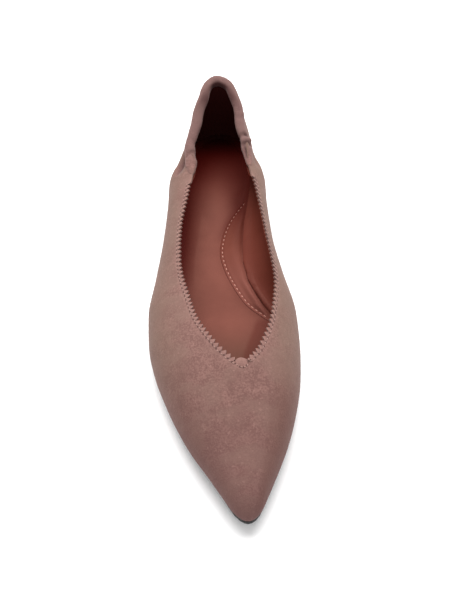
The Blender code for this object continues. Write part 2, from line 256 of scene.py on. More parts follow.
# The edge of the shade beside the outer wall, (x, y) in millimetres from the ball back, past which the
# shade loses a share of its strength, as far back as the seat.
WALL_SHADE_EDGE = [(-15.2, 6.3), (-16.4, 16.3), (-16.2, 26.3), (-15.4, 36.5), (-13.7, 47), (-12.6, 58)]
WALL_EDGE_SOFT, WALL_EDGE_LOSS, WALL_EDGE_TO, WALL_EDGE_FADE = 2 * MM, 0.7, 66 * MM, 10 * MM
# The edge of the shade under the inner side of the throat, (x, y) in millimetres from the toe back.
THROAT_SHADE = [(2, -60), (10, -31), (13.5, -21), (16, -14), (18, -8)]
THROAT_EDGE_SOFT, THROAT_SHADE_TO, THROAT_SHADE_FADE = 3 * MM, -8 * MM, 6 * MM


def points_of(piece):
    flat = np.empty(3 * len(piece.data.vertices))
    piece.data.vertices.foreach_get("co", flat)
    return flat.reshape(-1, 3)


def move_points(piece, points):
    piece.data.vertices.foreach_set("co", np.asarray(points, float).ravel())
    piece.data.update()


def store(piece, name, values):
    piece.data.attributes.new(name, "FLOAT", "POINT").data.foreach_set("value", np.asarray(values, float))


def soft_step(distance, width):
    """0 before the step, 1 after it, smooth between."""
    t = np.clip(distance / width, 0, 1)
    return t * t * (3 - 2 * t)


outline = copy_of_node("insole", "insole_outline")
outline_points = points_of(outline)
outline_edges = outline_points[np.array([edge.vertices[:] for edge in outline.data.edges])]
bpy.data.objects.remove(outline)
toe_end, heel_end = outline_points[:, 1].min() + SOCK_END, outline_points[:, 1].max() - SOCK_END


def across_sock(y):
    """The insole's lowest and highest x at this y, and the height of its top beside the outer edge."""
    crossing = outline_edges[(outline_edges[:, 0, 1] - y) * (outline_edges[:, 1, 1] - y) <= 0]
    run = crossing[:, 1, 1] - crossing[:, 0, 1]
    share = np.divide(y - crossing[:, 0, 1], run, out=np.zeros_like(run), where=abs(run) > NO_RUN)
    cut = crossing[:, 0] + share[:, None] * (crossing[:, 1] - crossing[:, 0])
    left, right = cut[:, 0].min(), cut[:, 0].max()
    return left, right, cut[cut[:, 0] < left + SOCK_OUTER_SHARE * (right - left)][:, 2].max()


crease_x, crease_y = MM * np.array(ARCH_CREASE).T


def crease_at(y):
    return np.interp(y, crease_y, crease_x)


def inner_edge(y):
    """How far insole and pad reach on the inner side, where they go in under the lining."""
    edge = across_sock(y)[1] + SOCK_TUCK
    short = max(crease_at(y) + SOCK_UNDER_CREASE - edge, 0)
    short *= soft_step(y - UNDER_CREASE_FROM, UNDER_CREASE_FADE)
    return edge + short * soft_step(UNDER_CREASE_TO - y, UNDER_CREASE_FADE)


def store_arch_shade(piece):
    """Marks how far a piece lies in the shade of the inner wall."""
    x, y, _ = points_of(piece).T
    at, width, strength = np.array(ARCH_SHADE).T
    width, strength = (np.interp(y, MM * at, values) for values in (MM * width, strength))
    from_wall = crease_at(y) - x
    shade = strength * soft_step(width - from_wall, width)
    store(piece, "arch_shade", np.clip(shade, 0, ARCH_SHADE_MOST))


def new_grid(name, cells):
    """A grid of points that run from 0 to 1 both ways, to be shaped and thickened."""
    columns, rows = cells
    bpy.ops.object.select_all(action="DESELECT")
    bpy.ops.mesh.primitive_grid_add(
        x_subdivisions=columns, y_subdivisions=rows, size=1, location=(0, 0, 0)
    )
    piece = bpy.context.object
    piece.name = name
    return piece, points_of(piece)[:, :2] + 0.5


def shape_sheet(piece, points, thick):
    """Puts a grid's points in place and gives it a thickness downwards."""
    move_points(piece, points)
    bpy.ops.object.mode_set(mode="EDIT")
    bpy.ops.mesh.select_all(action="SELECT")
    bpy.ops.mesh.remove_doubles(threshold=SAME_POINT)
    bpy.ops.mesh.extrude_region_move(TRANSFORM_OT_translate={"value": (0, 0, -thick)})
    bpy.ops.mesh.select_all(action="SELECT")
    bpy.ops.mesh.normals_make_consistent(inside=False)
    bpy.ops.object.mode_set(mode="OBJECT")
    bpy.ops.object.shade_smooth_by_angle(angle=LEATHER_SMOOTH)


insole, cells = new_grid("leather_insole", SOCK_CELLS)
shaped = []
for u, v in cells:
    y = toe_end + (heel_end - toe_end) * v
    left, _, base = across_sock(y)
    left, right = left - SOCK_TUCK, inner_edge(y)
    x = left + (right - left) * u
    near_edge = max(0, 1 - min(x - left, right - x) / SOCK_TURN_WIDTH)
    shaped.append((x, y, base + SOCK_TURN_UP * near_edge**2))
shape_sheet(insole, shaped, SOCK_THICK)

# Masks for the painted shade beside the outer wall, over the arch, under the vamp and under the throat.
x, y, _ = points_of(insole).T
from_wall = x - [across_sock(at)[0] for at in np.clip(y, toe_end, heel_end)]
to_seat = soft_step(y - HEEL_SHADE_FROM, HEEL_SHADE_RUN)
wall_shade = SOCK_WALL_SHADE + (SOCK_HEEL_SHADE - SOCK_WALL_SHADE) * to_seat
edge_x, edge_y = MM * np.array(WALL_SHADE_EDGE).T
past_edge = soft_step(x - np.interp(y, edge_y, edge_x) + WALL_EDGE_SOFT / 2, WALL_EDGE_SOFT)
past_edge *= soft_step(WALL_EDGE_TO - y, WALL_EDGE_FADE)
beside_wall = soft_step(wall_shade - from_wall, wall_shade) * (1 - WALL_EDGE_LOSS * past_edge)
shade_x, shade_y = MM * np.array(THROAT_SHADE).T
under_throat = soft_step(x - np.interp(y, shade_y, shade_x), THROAT_EDGE_SOFT)
store(insole, "beside_wall", beside_wall)
store_arch_shade(insole)
store(insole, "under_vamp", soft_step(VAMP_SHADE_FROM - y, VAMP_SHADE_RUN))
store(insole, "under_throat", under_throat * soft_step(THROAT_SHADE_TO - y, THROAT_SHADE_FADE))


def brick_leather(name, light, deep):
    """Smooth dyed leather: soft clouds of tone, a fine pebble grain and pores."""
    leather = Finish(bpy.data.materials.new(name))
    tone = leather.noise(LEATHER_CLOUD, 3)
    grain = leather.node("ShaderNodeTexVoronoi", {"feature": "SMOOTH_F1"}, {
        "Vector": leather.node("ShaderNodeTexCoord", {}, {}, "Object"),
        "Scale": PEBBLES_PER_METRE, "Smoothness": 0.6,
    })
    pores = leather.noise(PORE_SIZE)
    leather.fill(leather.shader, {
        "Roughness": 0.58 + 0.15 * tone,
        "Specular IOR Level": 0.07,
        "Normal": leather.bump(grain + 0.4 * pores, 0.18, GRAIN_DEPTH),
    })
    return leather, leather.mix(tone.between(*CLOUD_SHOWS), deep, light)


sock_leather, sock_colour = brick_leather("brick_sock_leather", BRICK, BRICK_DEEP)
sock_colour = sock_leather.overlay(sock_colour, SOCK_TONES)
# Painted shade towards the heel seat, first deep red, then nearly black.
to_heel = sock_leather.place("Y")
sock_colour = sock_leather.mix(to_heel.between(*SEAT_SHADE_RED_RUN), sock_colour, SEAT_SHADE_RED)
sock_leather.fill(sock_leather.shader, {
    "Base Color": sock_leather.mix(to_heel.between(*SEAT_SHADE_DARK_RUN), sock_colour, SEAT_SHADE_DARK),
})
dress(insole, sock_leather, "sock_leather", "insole")

# Arch pad: a crescent of foam under a second layer of the leather, laid on the inner side of the insole
# and sewn down round its curved edge. It swells behind the seam and sinks again where it meets the wall.
PAD_LIGHT = (0.152, 0.042, 0.028, 1)
PAD_DEEP = (0.127, 0.033, 0.021, 1)
# Painted light: the pad turns lighter towards the ball.
PAD_FRONT_LIT = (0.205, 0.068, 0.051, 1)
PAD_FRONT_LIT_RUN = (0.040, 0.004)
# Painted shade: a dark line along the crease where pad and lining meet.
CREASE_SHADE = (0.055, 0.008, 0.005, 1)
CREASE_SHOWS = 0.2
# Painted shade over the pad: beside the inner wall, along its edge and in the crease.
PAD_TONES = [
    ("arch_shade", 1, ARCH_DARK), ("beside_pad", BESIDE_PAD, ARCH_DARK),
    ("crease_shade", CREASE_SHOWS, CREASE_SHADE),
]
PAD_CELLS = (44, 190)
PAD_CROWDED = 1.6
PAD_STEP, PAD_END = 0.25 * MM, 0.9 * MM
PAD_THICK, PAD_SUNK = 1.2 * MM, 0.1 * MM
PAD_EDGE_HEIGHT, PAD_EDGE_ROUND = 0.8 * MM, 1.1 * MM
PAD_SWELL, PAD_SWELL_WIDTH = 1.7 * MM, 7 * MM
PAD_GROOVE, PAD_GROOVE_WIDTH = 0.45 * MM, 0.7 * MM
PAD_SEAM_INSET = 1.5 * MM
PAD_RIDGE, PAD_RIDGE_BEFORE, PAD_RIDGE_WIDTH = 1.0 * MM, 3.2 * MM, 1.7 * MM
PAD_RIDGE_TO, PAD_RIDGE_FADE, PAD_RIDGE_RISE = 20 * MM, 16 * MM, 2 * MM
PAD_SHADE_WIDTH, PAD_SHADE_FROM, PAD_SHADE_RUN, PAD_SHADE_LEAST = 2.4 * MM, 38 * MM, 14 * MM, 0.3
CREASE_DEPTH, CREASE_WIDTH = 0.9 * MM, 1.4 * MM
CREASE_LINE, CREASE_LOSS, CREASE_LOSS_FROM, CREASE_LOSS_RUN = 0.6 * MM, 0.85, 45 * MM, 20 * MM
CURVE_CUTS = 24
# The crescent's curved edge, (x, y) in millimetres from the heel end round to the ball.
PAD_LINE = [
    (20, 84), (12.9, 71.6), (7.2, 62.6), (2.8, 54.2), (-0.5, 43.8), (-1.6, 33.5), (0, 24.6), (3.2, 15.8),
    (8.3, 5.6), (13, -1.6), (19.2, -7.5), (25.8, -12.8), (34, -18.8),
]


def run_along(points):
    """How far along a line each of its points lies."""
    return np.concatenate([[0], np.cumsum(np.linalg.norm(np.diff(points, axis=0), axis=1))])


def smooth_line(points, step):
    """Points in metres, at even steps along a smooth curve (Catmull-Rom) through points in millimetres."""
    knots = [MM * np.array(point, float) for point in points]
    knots = [2 * knots[0] - knots[1]] + knots + [2 * knots[-1] - knots[-2]]
    fine = []
    for a, b, c, d in zip(knots, knots[1:], knots[2:], knots[3:]):
        for t in np.linspace(0, 1, CURVE_CUTS, endpoint=False):
            fine.append(0.5 * (2 * b + t * (c - a) + t**2 * (2 * a - 5 * b + 4 * c - d)
                               + t**3 * (3 * b - a - 3 * c + d)))
    fine = np.array(fine + [knots[-2]])
    run = run_along(fine)
    even = np.arange(0, run[-1], step)
    return np.stack([np.interp(even, run, fine[:, k]) for k in range(fine.shape[1])], axis=1)


def bell(distance, width):
    """1 at no distance, falling off softly both ways."""
    return np.exp(-((distance / width) ** 2))


pad_line = smooth_line(PAD_LINE, PAD_STEP)
pad_line = np.array([at for at in pad_line if at[0] < inner_edge(at[1]) - PAD_END])
pad_ahead = np.gradient(pad_line, axis=0)
pad_ahead /= np.linalg.norm(pad_ahead, axis=1, keepdims=True)


def pad_point(along, across):
    """A point of the crescent, this share of the way along its edge and across it to the wall."""
    at = along * (len(pad_line) - 1)
    x, y = (np.interp(at, np.arange(len(pad_line)), pad_line[:, k]) for k in (0, 1))
    slant = abs(np.interp(at, np.arange(len(pad_line)), pad_ahead[:, 1]))
    base = across_sock(y)[2]
    width = inner_edge(y) - x
    inside = across * width * slant
    height = PAD_EDGE_HEIGHT * math.sqrt(1 - (1 - min(inside / PAD_EDGE_ROUND, 1)) ** 2)
    height -= PAD_GROOVE * bell(inside - PAD_SEAM_INSET, PAD_GROOVE_WIDTH)
    height += PAD_SWELL * soft_step(inside - PAD_SEAM_INSET, PAD_SWELL_WIDTH)
    x += across * width
    before_crease = crease_at(y) - x
    height -= CREASE_DEPTH * bell(before_crease, CREASE_WIDTH)
    ridge = PAD_RIDGE * bell(before_crease - PAD_RIDGE_BEFORE, PAD_RIDGE_WIDTH)
    ridge *= soft_step(PAD_RIDGE_TO - y, PAD_RIDGE_FADE)
    height += ridge * soft_step(inside - PAD_SEAM_INSET, PAD_RIDGE_RISE)
    return Vector((x, y, base + height - PAD_SUNK))


def store_crease(piece):
    """Marks a line of painted shade on a piece where pad and lining meet."""
    x, y, _ = points_of(piece).T
    faded = 1 - CREASE_LOSS * soft_step(y - CREASE_LOSS_FROM, CREASE_LOSS_RUN)
    store(piece, "crease_shade", faded * bell(x - crease_at(y), CREASE_LINE))


def store_pad_shade(piece):
    """Marks the soft shade along the crescent's edge, towards its heel end."""
    flat = points_of(piece)[:, :2]
    apart = np.array([np.linalg.norm(pad_line - at, axis=1).min() for at in flat])
    rising = soft_step(flat[:, 1] - PAD_SHADE_FROM, PAD_SHADE_RUN)
    strength = PAD_SHADE_LEAST + (1 - PAD_SHADE_LEAST) * rising
    store(piece, "beside_pad", strength * bell(apart, PAD_SHADE_WIDTH))


arch_pad, cells = new_grid("arch_pad", PAD_CELLS)
shape_sheet(arch_pad, [pad_point(v, u**PAD_CROWDED) for u, v in cells], PAD_THICK)
store_crease(arch_pad)
store_arch_shade(arch_pad)
store_pad_shade(arch_pad)
store_pad_shade(insole)
pad_leather, pad_colour = brick_leather("brick_pad_leather", PAD_LIGHT, PAD_DEEP)
# Painted light towards the ball.
pad_colour = pad_leather.mix(pad_leather.place("Y").between(*PAD_FRONT_LIT_RUN), pad_colour, PAD_FRONT_LIT)
pad_leather.fill(pad_leather.shader, {"Base Color": pad_leather.overlay(pad_colour, PAD_TONES)})
dress(arch_pad, pad_leather, "sock_leather")

# Arch pad stitches: a pinkish thread through the pad's edge, each stitch a short bar that dips into its
# holes at both ends.
THREAD_PINK = (0.56, 0.285, 0.22, 1)
THREAD_DEEP = (0.42, 0.18, 0.14, 1)
THREAD_SHADE = (0.24, 0.085, 0.062, 1)
THREAD_SHADE_RUN = (0.03, 0.065)
THREAD_TWIST = 0.6 * MM
PAD_STITCH = (1.9 * MM, 0.62 * MM, 0.5 * MM)
PAD_STITCH_PITCH, PAD_STITCH_RAISED = 2.9 * MM, 0.12 * MM
PAD_SEAM_STOPS = 0.8
STITCH_DIP = 0.35


def sew(name, size, seats):
    """One bar of thread, modelled once and copied to each (place, direction, normal), as one piece."""
    bpy.ops.object.select_all(action="DESELECT")
    bpy.ops.mesh.primitive_uv_sphere_add(segments=8, ring_count=6, radius=0.5, location=(0, 0, 0))
    bar = bpy.context.object
    bar.name = name
    dipped = points_of(bar)
    dipped[:, 2] -= STITCH_DIP * (2 * dipped[:, 0]) ** 2
    move_points(bar, dipped * size)
    model = bar.data.copy()
    for k, (place, along, normal) in enumerate(seats):
        stitch = bar if k == 0 else bpy.data.objects.new(name, model.copy())
        side = normal.cross(along).normalized()
        turn = Matrix((along, side, along.cross(side))).transposed().to_4x4()
        stitch.data.transform(Matrix.Translation(place) @ turn)
        if k:
            bpy.context.scene.collection.objects.link(stitch)
            stitch.select_set(True)
    bpy.ops.object.join()
    bpy.ops.object.shade_smooth()
    return bar


seats = []
for first in np.arange(0, len(pad_line) * PAD_STEP - PAD_STITCH_PITCH, PAD_STITCH_PITCH):
    at = int((first + PAD_STITCH_PITCH / 2) / PAD_STEP)
    x, y = pad_line[at]
    width = inner_edge(y) - x
    across = PAD_SEAM_INSET / (width * abs(pad_ahead[at][1]))
    if across < PAD_SEAM_STOPS:
        seat = pad_point(at / (len(pad_line) - 1), across) + Vector((0, 0, PAD_STITCH_RAISED))
        seats.append((seat, Vector((*pad_ahead[at], 0)), Vector((0, 0, 1))))
thread = Finish(bpy.data.materials.new("pink_thread"))
thread_colour = thread.mix(thread.noise(THREAD_TWIST), THREAD_DEEP, THREAD_PINK)
thread.fill(thread.shader, {
    "Base Color": thread.mix(thread.place("Y").between(*THREAD_SHADE_RUN), thread_colour, THREAD_SHADE),
    "Roughness": 0.7,
})
pad_stitches = sew("arch_pad_stitches", PAD_STITCH, seats)
dress(pad_stitches, thread, "sock_leather")

# Lining: the same brick leather inside the whole upper, glued to the suede and trimmed in a plain line
# just under the teeth of the throat. Over the arch it bulges inwards and meets the pad in a crease.
# Painted shade: the lining's two tones are the brick leather's colour, painted darker and redder.
LINING_LIGHT = (0.145, 0.033, 0.021, 1)
LINING_DEEP = (0.120, 0.025, 0.015, 1)
LINING_SHADE = (0.040, 0.007, 0.006, 1)
LINING_SHADE_RUN = (0.05, 0.12)
# Painted highlight on the lining's lip beside the crease, and painted shade along the crease.
LINING_TONES = [("lip_highlight", 0.6, PAD_FRONT_LIT), ("crease_shade", CREASE_SHOWS, CREASE_SHADE)]
LINING_THICK = 0.7 * MM
CAVITY = Vector((0.0097, -0.084, 0.020))
SKIN_BEND = math.radians(66)
SLIT_WIDTH, SLIT_CORNERS = 1.4 * MM, 4
PINKED_TURN = 40
LINING_BELOW_COLLAR, LINING_LOW_FROM = 2.4 * MM, 0.066
LINING_HIGH_FROM, LINING_HIGH_FADE = 0.098, 12 * MM
SOCK_STATIONS = 160
ARCH_WALL_TOP, ARCH_WALL_END = 26 * MM, 92 * MM
ARCH_EDGE, ARCH_HALVINGS = 0.8 * MM, 3
ARCH_WALL_SAMPLE, ARCH_WALL_DEGREE = 3 * MM, 6
BULGE_LOW, BULGE_HIGH = 2.5 * MM, 18 * MM
BULGE_RIDGE, BULGE_RIDGE_INSET, BULGE_RIDGE_WIDTH = 1.4 * MM, 2.0 * MM, 1.7 * MM
BULGE_RIDGE_RISE, BULGE_RIDGE_LOSS = 1 * MM, 0.7
BULGE_LOSS_FROM, BULGE_LOSS_RUN = 5 * MM, 35 * MM
# Where the painted highlight lies along the lining's lip.
LIP_INSET, LIP_WIDTH = 1.6 * MM, 1.6 * MM
LIP_TOP, LIP_TOP_FADE = 8 * MM, 3 * MM
LIP_END, LIP_END_FADE = 32 * MM, 24 * MM
LINING_FOLLOWS, LINING_KEPT_LOW = 1.5, 0.35
FOLD_STEP = 0.3 * MM
# Folds of the wall beside the collar's ends: a line (x, y, z) in millimetres, and how far the middle of
# the fold stands out (or in, if negative) and how wide it is. The lining follows the suede.
WALL_FOLDS = [
    ([(-21, 88, 40.2), (-22.1, 84.5, 39), (-23.3, 80.5, 37.6), (-24.3, 76.5, 36.8), (-25.2, 71, 36)],
     -2.7, 3.3),
    ([(-25.5, 84, 32), (-26.5, 77, 32.5), (-27.5, 69, 32)], 0.7, 4.0),
    ([(20, 87, 38.6), (20.6, 82, 38), (21.4, 75, 37.2)], -0.9, 2.6),
    ([(21.5, 88, 33), (22.5, 78, 34), (23, 70, 34)], 0.6, 4.0),
]


def normals_of(piece):
    flat = np.empty(3 * len(piece.data.vertices))
    piece.data.vertex_normals.foreach_get("vector", flat)
    return flat.reshape(-1, 3)


def fold(piece, folds):
    """Raises soft ridges and presses soft troughs along drawn lines, each fading at its ends.

    Keeps how deep each point is pressed in, in millimetres, as an attribute for the finish.
    """
    points, normals = points_of(piece), normals_of(piece)
    moved, pressed = points.copy(), np.zeros(len(points))
    for line, depth, width in folds:
        drawn = smooth_line(line, FOLD_STEP)
        apart = np.linalg.norm(points[:, None] - drawn[None], axis=2)
        nearest = apart.argmin(axis=1)
        fade = np.sin(math.pi * (nearest + 1) / (len(drawn) + 1))
        lift = depth * MM * fade * bell(apart.min(axis=1), width * MM)
        moved += lift[:, None] * normals
        pressed -= lift / MM
    move_points(piece, moved)
    store(piece, "pressed", np.clip(pressed, 0, None))


def unselect_all(piece, kind):
    """Leaves a piece with nothing selected, ready for single faces, edges or vertices to be picked."""
    select_only(piece)
    bpy.ops.object.mode_set(mode="EDIT")
    bpy.ops.mesh.select_mode(type=kind)
    bpy.ops.mesh.select_all(action="DESELECT")
    bpy.ops.object.mode_set(mode="OBJECT")


def keep_skin(piece, near):
    """Keeps only that face of the wall which lies nearest to a point."""
    seed = min(piece.data.polygons, key=lambda face: (face.center - near).length).index
    unselect_all(piece, "FACE")
    piece.data.polygons[seed].select = True
    bpy.ops.object.mode_set(mode="EDIT")
    bpy.ops.mesh.faces_select_linked_flat(sharpness=SKIN_BEND)
    bpy.ops.mesh.select_all(action="INVERT")
    bpy.ops.mesh.delete(type="FACE")
    bpy.ops.object.mode_set(mode="OBJECT")


def open_edges(piece):
    sides = {}
    for face in piece.data.polygons:
        for key in face.edge_keys:
            sides[key] = sides.get(key, 0) + 1
    return [key for key, count in sides.items() if count == 1]


def border_of(piece, start):
    """The vertices round one open edge of a skin, in order from the highest (max) or lowest (min) one."""
    ahead = {}
    for a, b in open_edges(piece):
        ahead.setdefault(a, []).append(b)
        ahead.setdefault(b, []).append(a)
    first = start(ahead, key=lambda i: piece.data.vertices[i].co.z)
    loop, last = [first], None
    while True:
        options = [i for i in ahead[loop[-1]] if i != last]
        last = loop[-1]
        if options[0] == first:
            return loop
        loop.append(options[0])


def sew_up_slit(piece):
    """Closes the narrow slit that the wall's own fold leaves in a skin beside the collar's outer end."""
    borders = set(border_of(piece, max)) | set(border_of(piece, min))
    slit = {i for edge in open_edges(piece) if not borders.issuperset(edge) for i in edge}
    unselect_all(piece, "VERT")
    for i in slit:
        piece.data.vertices[i].select = True
    bpy.ops.object.mode_set(mode="EDIT")
    bpy.ops.mesh.remove_doubles(threshold=SLIT_WIDTH)
    bpy.ops.mesh.fill_holes(sides=SLIT_CORNERS)
    bpy.ops.object.mode_set(mode="OBJECT")


def turns_at(points, loop):
    """How sharply the loop turns at each of its points, in degrees."""
    here = points[loop]
    before, after = here - np.roll(here, 1, axis=0), np.roll(here, -1, axis=0) - here
    cosine = (before * after).sum(axis=1)
    cosine /= np.linalg.norm(before, axis=1) * np.linalg.norm(after, axis=1)
    return np.degrees(np.arccos(np.clip(cosine, -1, 1)))


def split_long_edges(piece):
    """Halves the long edges of the inner wall over the arch a few times, so that it bends smoothly."""
    for _ in range(ARCH_HALVINGS):
        unselect_all(piece, "EDGE")
        x, y, z = points_of(piece).T
        within = (x > 0) & (y > crease_y[0]) & (y < ARCH_WALL_END) & (z < ARCH_WALL_TOP)
        for edge in piece.data.edges:
            a, b = (piece.data.vertices[i] for i in edge.vertices)
            edge.select = bool(within[a.index] and within[b.index]) and (a.co - b.co).length > ARCH_EDGE
        bpy.ops.object.mode_set(mode="EDIT")
        bpy.ops.mesh.subdivide(number_cuts=1)
        bpy.ops.object.mode_set(mode="OBJECT")


lining = copy_of_node("upper", "leather_lining")
keep_skin(lining, CAVITY)
sew_up_slit(lining)

# The lining's rim loses its teeth and drops behind the collar's two ends.
lining_rim = border_of(lining, max)
cut = points_of(lining)
turned = turns_at(cut, lining_rim)
trimmed = cut.copy()
for k, i in enumerate(lining_rim):
    before, after = cut[lining_rim[k - 1]], cut[lining_rim[(k + 1) % len(lining_rim)]]
    if turned[k] > PINKED_TURN:
        trimmed[i] = min((cut[i], (before + after) / 2), key=lambda point: point[2])
    if cut[i][1] > LINING_LOW_FROM:
        lowered = soft_step(LINING_HIGH_FROM + LINING_HIGH_FADE - cut[i][1], LINING_HIGH_FADE)
        trimmed[i][2] -= LINING_BELOW_COLLAR * lowered
move_points(lining, trimmed)
apply_modifier(lining, "SUBSURF", levels=2, render_levels=2)
split_long_edges(lining)

# Over the arch the wall is drawn in to the crease, with a soft ridge along it, and its lower edge is
# lifted out of sight behind the suede.
inner = points_of(lining)
stations = np.linspace(toe_end, heel_end, SOCK_STATIONS)
sock_top = np.interp(inner[:, 1], stations, [across_sock(y)[2] for y in stations])
above = inner[:, 2] - sock_top
wall = inner[(inner[:, 0] > 0) & (abs(above - BULGE_HIGH) < ARCH_WALL_SAMPLE)]
wall_x = np.polyval(np.polyfit(wall[:, 1], wall[:, 0], ARCH_WALL_DEGREE), inner[:, 1])
meeting_x = crease_at(inner[:, 1])
over_arch = (inner[:, 0] > 0) & (inner[:, 1] > crease_y[0]) & (inner[:, 1] < ARCH_WALL_END)
risen = np.clip((above - BULGE_LOW) / (BULGE_HIGH - BULGE_LOW), 0, 1)
bulged_x = meeting_x + (wall_x - meeting_x) * np.sqrt(1 - (1 - risen) ** 2)
pulled = np.where(over_arch, np.maximum(inner[:, 0] - bulged_x, 0), 0)
inner[:, 0] -= pulled
ridge = BULGE_RIDGE * bell(inner[:, 0] - meeting_x - BULGE_RIDGE_INSET, BULGE_RIDGE_WIDTH)
ridge *= soft_step(pulled, BULGE_RIDGE_RISE)
ridge *= 1 - BULGE_RIDGE_LOSS * soft_step(inner[:, 1] - BULGE_LOSS_FROM, BULGE_LOSS_RUN)
inner[:, 2] += ridge
inner[:, 2] += (1 - LINING_KEPT_LOW) * np.maximum(-above, 0)
move_points(lining, inner)
store_crease(lining)
# Painted highlight: a lighter band along the lining's lip beside the crease, towards the ball.
lip_highlight = bell(inner[:, 0] - meeting_x - LIP_INSET, LIP_WIDTH) * soft_step(LIP_TOP - above, LIP_TOP_FADE)
store(lining, "lip_highlight", lip_highlight * over_arch * soft_step(LIP_END - inner[:, 1], LIP_END_FADE))
fold(lining, [(line, -LINING_FOLLOWS * depth, width) for line, depth, width in WALL_FOLDS])
apply_modifier(lining, "SOLIDIFY", thickness=LINING_THICK, offset=-1)
bpy.ops.object.shade_smooth_by_angle(angle=LEATHER_SMOOTH)

lining_leather, lining_colour = brick_leather("brick_lining_leather", LINING_LIGHT, LINING_DEEP)
lining_colour = lining_leather.overlay(lining_colour, LINING_TONES)
to_heel = lining_leather.place("Y").between(*LINING_SHADE_RUN)
lining_leather.fill(lining_leather.shader, {
    "Base Color": lining_leather.mix(to_heel, lining_colour, LINING_SHADE),
})
dress(lining, lining_leather, "sock_leather")

# Upper: dusty rose suede in one piece, pulled over the last and glued round under the insole. Its
# throat is cut with pinking shears and sewn round below the teeth. The elastic of the collar gathers it
# into soft folds beside the collar's two ends.
SUEDE = (0.200, 0.101, 0.084, 1)
SUEDE_DEEP = (0.138, 0.064, 0.053, 1)
SUEDE_GREY = (0.182, 0.102, 0.081, 1)
# A paler tone for specks in the nap and for a painted highlight on the teeth.
SUEDE_SPECK_AND_LIT_TIP = (0.290, 0.155, 0.130, 1)
# Painted shade towards the toe and along the lower sides near the sole.
SUEDE_SHADE = (0.095, 0.035, 0.034, 1)
SUEDE_MAUVE = (0.130, 0.070, 0.067, 1)
# Painted shade in the troughs of the folds and in the notches between the teeth.
SUEDE_FOLD_SHADE = (0.070, 0.029, 0.026, 1)
SUEDE_SIDE = (0.138, 0.083, 0.056, 1)
# Painted shade on the toe's steep sides, stronger on the inner side.
SUEDE_TOE_SHADE = (0.105, 0.039, 0.025, 1)
NEEDLE_DARK = (0.060, 0.022, 0.018, 1)
# Of these tones, the toe's sides and the fold troughs get painted shade, the teeth a painted highlight.
SUEDE_TONES = [
    ("side_tone", 0.5, SUEDE_SIDE), ("toe_side_shade", 0.62, SUEDE_TOE_SHADE), ("collar_tone", 0.6, SUEDE_MAUVE),
    ("pressed", 0.35, SUEDE_FOLD_SHADE), ("lit_tooth_band", 0.55, SUEDE_SPECK_AND_LIT_TIP),
]
# The clouds of tone in the suede: their size, detail and stretch along x, y and z.
PATCH = (17 * MM, 4, (1, 1.5, 1))
MOTTLE = (4.5 * MM, 4, (1, 1, 1))
STREAK = (2.2 * MM, 3, (1, 0.3, 1))
NAP = (0.9 * MM, 3, (1, 1, 1))
BRUSHED = (26 * MM, 2, (1, 1.8, 1))
SPECK = (1.7 * MM, 2, (1, 1, 1))
# Between which values each of them shows, and how strongly.
PILE_SHOWS = (0.41, 0.59)
PATCH_SHOWS, PATCH_SHARE = (0.42, 0.62), 0.6
BRUSHED_SHOWS, BRUSHED_SHARE = (0.46, 0.60), 0.3
SPECK_SHOWS, SPECK_SHARE = (0.61, 0.70), 0.35
NOTCH_SHOWS, NOTCH_SHARE = (0.3, 0.9), 0.65
TOE_SHADE_RUN, TOE_SHADE_SHARE = (-0.14, -0.03), 0.3
SOLE_BAND, SOLE_BAND_SHARE = 9 * MM, 0.8
NEEDLE_SHARE = 0.85
NAP_DEPTH = 0.3 * MM
SUEDE_THICK = 0.9 * MM
OVER_VAMP = Vector((0.0097, -0.084, 0.045))
SEAM_BELOW_TIPS, FAR_FROM_SEAM = 4.1 * MM, 30 * MM
NEEDLE_PITCH, NEEDLE_SIZE, NEEDLE_BELOW_TIPS = 2.8 * MM, 0.75 * MM, 2.5 * MM
NEEDLE_EDGE, SEAM_STRETCH = (0.6, 1.1), 1.8
COLLAR_FRONT, COLLAR_RISE, COLLAR_TUCK = 0.075, 1 * MM, 2 * MM
FIRST_TOOTH = {-1: 0.0627, 1: 0.0669}
# Painted shade in the notches, stronger on the inner side heelwards of this point.
STRONG_NOTCH_SHADE, STRONG_NOTCH_SHADE_FROM = 2, -10 * MM
STEEP_FROM, STEEP_RUN, OUTER_TOE_SHARE = 0.3, 0.5, 0.6
SIDE_TONE_FROM, SIDE_TONE_RUN = -90 * MM, 50 * MM
TOE_SIDE_FROM, TOE_SIDE_RUN = -45 * MM, 45 * MM
# How far the cut edge and its seam reach further back than the solid's, in millimetres: (points from
# the bottom of the V, lateral negative) and the length there.
THROAT_LIFT = ((-36, -20, -4, 4, 10), (0, 2.0, 2.0, 2.2, 0))
# The blunt tongue that closes the V: for single points from its bottom, a further move (x, y).
TONGUE_EDGE = {
    -2: (-1.0, 1.2), -1: (0.8, 4.0), 0: (0.2, 3.4), 1: (-0.4, 2.2), 2: (1.0, -1.0), 3: (-0.7, -0.4),
}
TONGUE_SEAM = {-1: (0.2, 1.0), 0: (1.4, 1.5), 1: (0, 1.3), 2: (0, 0.8)}
TONGUE_SLOPE = 0.1


def tree_of(points):
    """A search tree that finds the nearest of some points and says its number."""
    tree = KDTree(len(points))
    for k, point in enumerate(points):
        tree.insert(point, k)
    tree.balance()
    return tree


upper = copy_of_node("upper", "suede_upper")
keep_skin(upper, OVER_VAMP)
sew_up_slit(upper)

